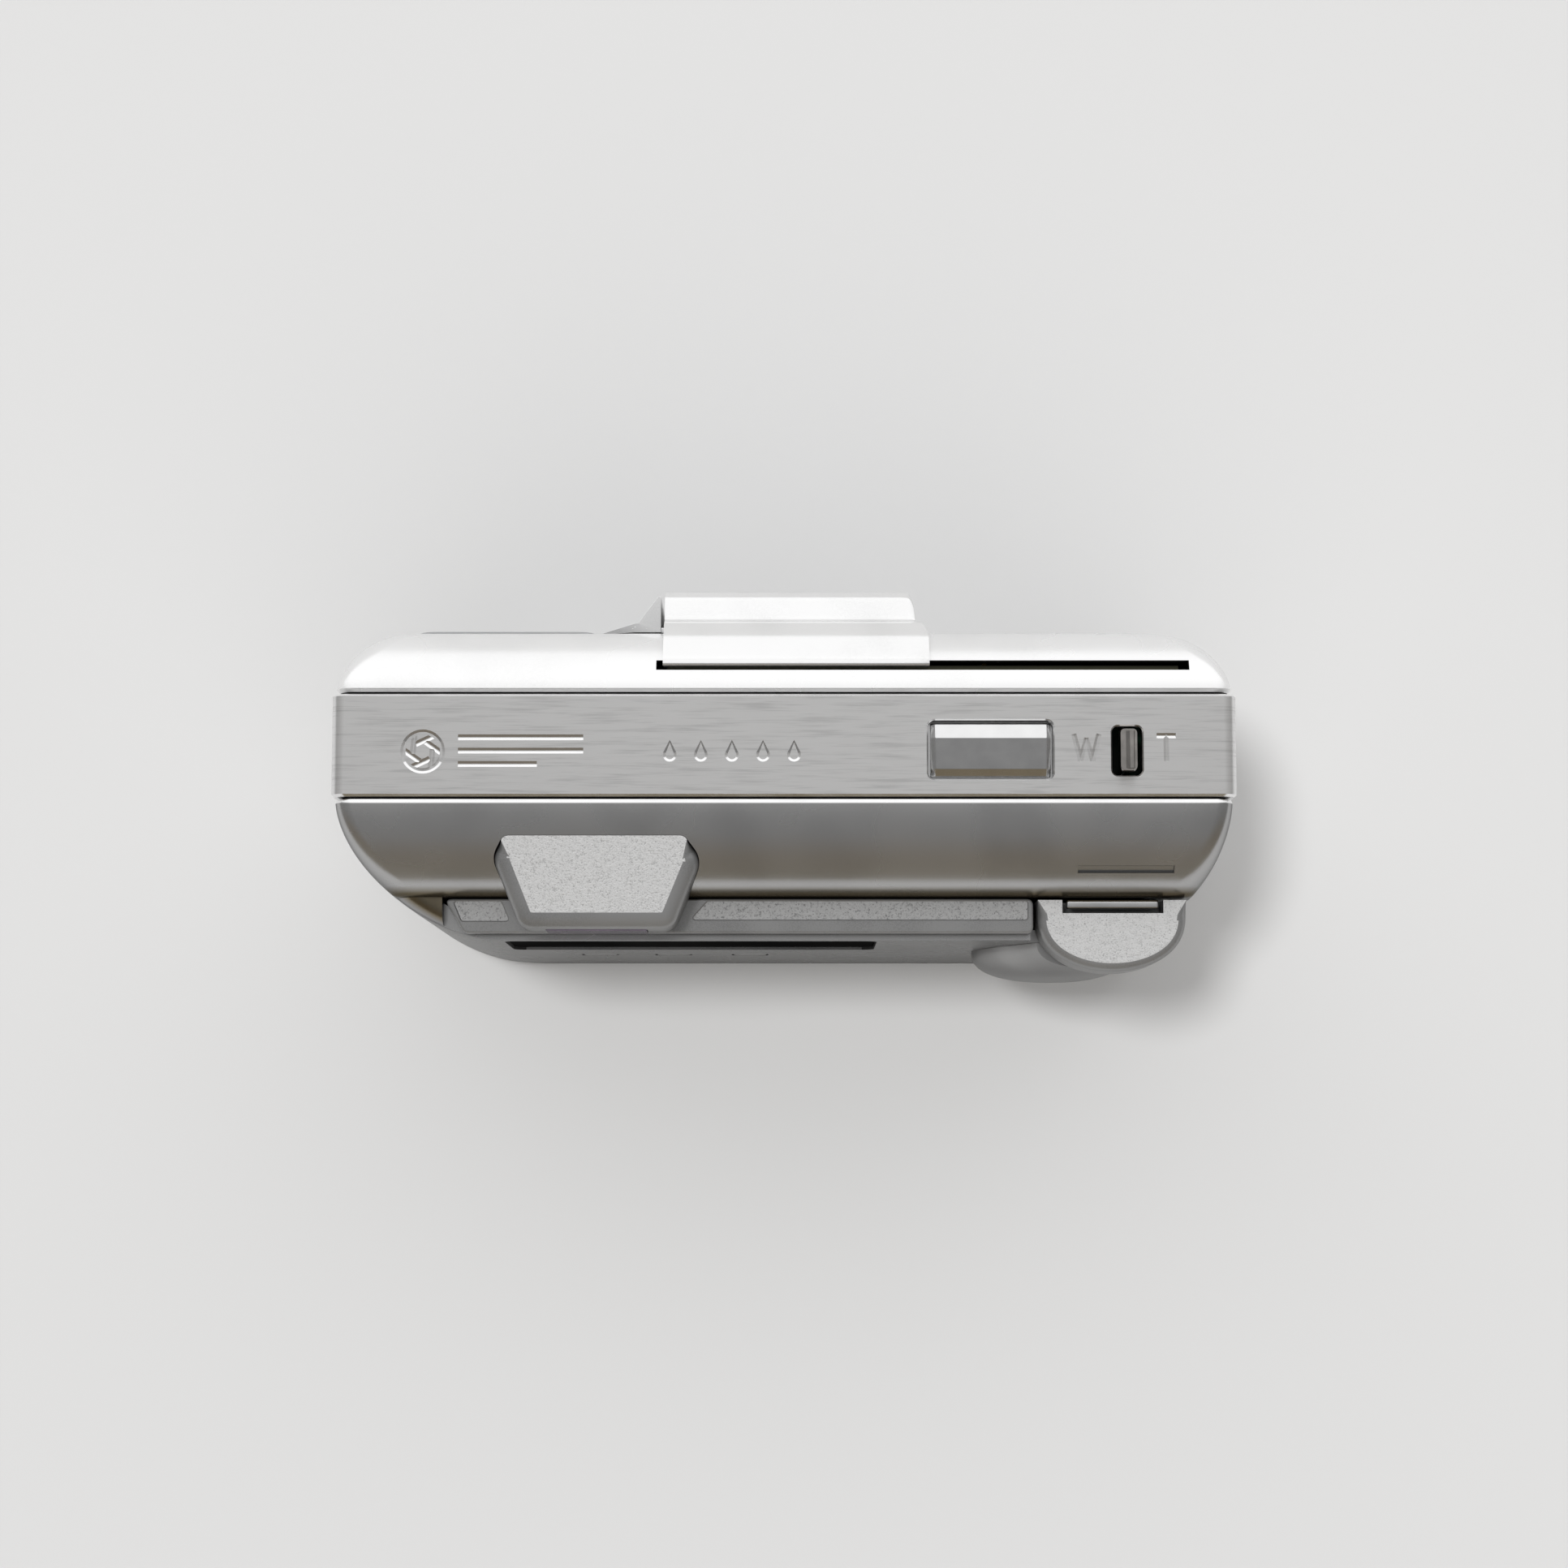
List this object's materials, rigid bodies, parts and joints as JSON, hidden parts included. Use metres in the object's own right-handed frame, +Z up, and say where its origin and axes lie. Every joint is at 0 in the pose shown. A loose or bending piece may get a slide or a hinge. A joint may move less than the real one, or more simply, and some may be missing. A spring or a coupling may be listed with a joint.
{
  "type": "compact film camera",
  "caption": "Compact all-weather zoom film camera with a sliding lens cover, brushed belt frame, hinged film door and working controls.",
  "frame": {"origin": "bottom centre of the camera, on the surface that it stands on", "axes": "+Z up, the lens side faces -Y, the shutter button and the user's right hand are at the -X end"},
  "size_m": [0.1082, 0.0464, 0.0605],
  "materials": {
    "satin_silver_shell": "fine metallic silver paint, satin",
    "bright_silver_cover": "smooth bright silver, semi-gloss",
    "brushed_steel": "long grain brushed along the belt",
    "textured_silver": "fine sparkle texture",
    "thumb_rest_silver": "smooth satin silver",
    "dark_chrome": "smoky polished plating",
    "bright_metal": "plated steel",
    "contact_brass": "bright brass",
    "black_plastic": "fine matt black",
    "seal_foam": "matt foam",
    "ivory_plastic": "natural nylon",
    "circuit_board": "green solder mask",
    "battery_sleeve": "printed-free shrink sleeve",
    "display_black": "glossy black window",
    "lens_glass": "coated glass",
    "flash_lens": "ribbed clear plastic"
  },
  "bodies": {
    "body": {"front_shell": "satin_silver_shell", "rear_shell": "satin_silver_shell", "lens_surround": "bright_silver_cover", "belt_frame": "brushed_steel", "eyepiece_housing": "textured_silver", "strap_housing": "textured_silver", "side_cap": "thumb_rest_silver", "strap_bar": "bright_metal", "hinge_pin": "bright_metal", "tripod_socket": "bright_metal", "base_screw_left": "bright_metal", "base_screw_right": "bright_metal", "zoom_lever_pin": "bright_metal", "idler_pin": "bright_metal", "battery_door_pin": "bright_metal", "drive_motor": "bright_metal", "flash_reflector": "bright_metal", "cover_rail_top": "bright_metal", "cover_rail_bottom": "bright_metal", "shutter_switch": "bright_metal", "battery_contact": "contact_brass", "cassette_chamber": "black_plastic", "film_gate": "black_plastic", "take_up_chamber": "black_plastic", "lens_mount_tube": "black_plastic", "zoom_barrel": "black_plastic", "shutter_block": "black_plastic", "finder_tunnel": "black_plastic", "flash_capacitor": "black_plastic", "main_board": "circuit_board", "battery": "battery_sleeve", "front_element": "lens_glass", "finder_objective": "lens_glass", "focus_window_near": "lens_glass", "focus_window_far": "lens_glass", "eyepiece_lens": "lens_glass", "flash_window": "flash_lens", "flash_tube": "flash_lens"},
    "cover": {"lens_cover": "bright_silver_cover"},
    "film_door": {"film_door": "satin_silver_shell", "display_window": "display_black", "thumb_rest": "thumb_rest_silver", "pressure_spring": "bright_metal", "cassette_window_seal": "seal_foam"},
    "pressure_plate": {"pressure_plate": "black_plastic"},
    "door_latch": {"film_door_latch": "thumb_rest_silver"},
    "shutter_button": {"shutter_button": "brushed_steel"},
    "zoom_lever": {"zoom_lever": "dark_chrome"},
    "mode_button_1": {"mode_button_1": "thumb_rest_silver"},
    "mode_button_2": {"mode_button_2": "thumb_rest_silver"},
    "mode_button_3": {"mode_button_3": "thumb_rest_silver"},
    "battery_door": {"battery_door": "satin_silver_shell"},
    "rewind_fork": {"rewind_fork": "black_plastic"},
    "take_up_spool": {"take_up_spool": "black_plastic"},
    "idler_gear": {"idler_gear": "ivory_plastic"},
    "motor_pinion": {"motor_pinion": "contact_brass"},
    "focus_group": {"focus_cell": "black_plastic", "rear_element": "lens_glass"},
    "shutter_blade_left": {"shutter_blade_left": "black_plastic"},
    "shutter_blade_right": {"shutter_blade_right": "black_plastic"}
  },
  "joints": [
    {"name": "lens_cover_slide", "type": "slide", "parent": "body", "child": "cover", "axis": [-1, 0, 0], "range_m": [0, 0.0309]},
    {"name": "film_door_hinge", "type": "hinge", "parent": "body", "child": "film_door", "pos_m": [-0.046, 0.0168, 0.025], "axis": [0, 0, 1], "range_deg": [0, 100]},
    {"name": "pressure_plate_travel", "type": "slide", "parent": "film_door", "child": "pressure_plate", "axis": [0, 1, 0], "range_m": [0, 0.0006], "stiffness_N_per_m": 600, "springref_m": -0.001},
    {"name": "door_latch_slide", "type": "slide", "parent": "body", "child": "door_latch", "axis": [0, 0, 1], "range_m": [0, 0.004], "stiffness_N_per_m": 200, "springref_m": -0.001},
    {"name": "shutter_press", "type": "slide", "parent": "body", "child": "shutter_button", "axis": [0, 0, -1], "range_m": [0, 0.001], "stiffness_N_per_m": 800, "springref_m": -0.0005},
    {"name": "zoom_rock", "type": "hinge", "parent": "body", "child": "zoom_lever", "pos_m": [-0.04085, -0.0026, 0.054], "axis": [0, 1, 0], "range_deg": [-6, 6], "stiffness_Nm_per_rad": 0.05},
    {"name": "mode_button_1_press", "type": "slide", "parent": "film_door", "child": "mode_button_1", "axis": [0, -1, 0], "range_m": [0, 0.0003], "stiffness_N_per_m": 600, "springref_m": -0.0003},
    {"name": "mode_button_2_press", "type": "slide", "parent": "film_door", "child": "mode_button_2", "axis": [0, -1, 0], "range_m": [0, 0.0003], "stiffness_N_per_m": 600, "springref_m": -0.0003},
    {"name": "mode_button_3_press", "type": "slide", "parent": "film_door", "child": "mode_button_3", "axis": [0, -1, 0], "range_m": [0, 0.0003], "stiffness_N_per_m": 600, "springref_m": -0.0003},
    {"name": "battery_door_hinge", "type": "hinge", "parent": "body", "child": "battery_door", "pos_m": [-0.0368, -0.0075, 0.0013], "axis": [0, -1, 0], "range_deg": [0, 90]},
    {"name": "rewind_turn", "type": "hinge", "parent": "body", "child": "rewind_fork", "pos_m": [0.0335, 0.0022, 0.049], "axis": [0, 0, 1], "continuous": true},
    {"name": "take_up_turn", "type": "hinge", "parent": "body", "child": "take_up_spool", "pos_m": [-0.0305, 0.004, 0.03], "axis": [0, 0, 1], "continuous": true},
    {"name": "idler_turn", "type": "hinge", "parent": "body", "child": "idler_gear", "pos_m": [-0.02344, -0.00377, 0.0486], "axis": [0, 0, 1], "continuous": true},
    {"name": "pinion_turn", "type": "hinge", "parent": "body", "child": "motor_pinion", "pos_m": [-0.0245, -0.0112, 0.0486], "axis": [0, 0, 1], "continuous": true},
    {"name": "focus_travel", "type": "slide", "parent": "body", "child": "focus_group", "axis": [0, -1, 0], "range_m": [0, 0.0025]},
    {"name": "blade_left_swing", "type": "hinge", "parent": "body", "child": "shutter_blade_left", "pos_m": [0.0062, -0.0117, 0.0266], "axis": [0, 1, 0], "range_deg": [0, 55], "stiffness_Nm_per_rad": 0.0005},
    {"name": "blade_right_swing", "type": "hinge", "parent": "body", "child": "shutter_blade_right", "pos_m": [-0.009, -0.0109, 0.0266], "axis": [0, 1, 0], "range_deg": [-55, 0]}
  ],
  "couplings": [
    {"joint": "idler_turn", "follows": "take_up_turn", "ratio": -1.3333},
    {"joint": "pinion_turn", "follows": "take_up_turn", "ratio": 2},
    {"joint": "blade_right_swing", "follows": "blade_left_swing", "ratio": -1}
  ]
}
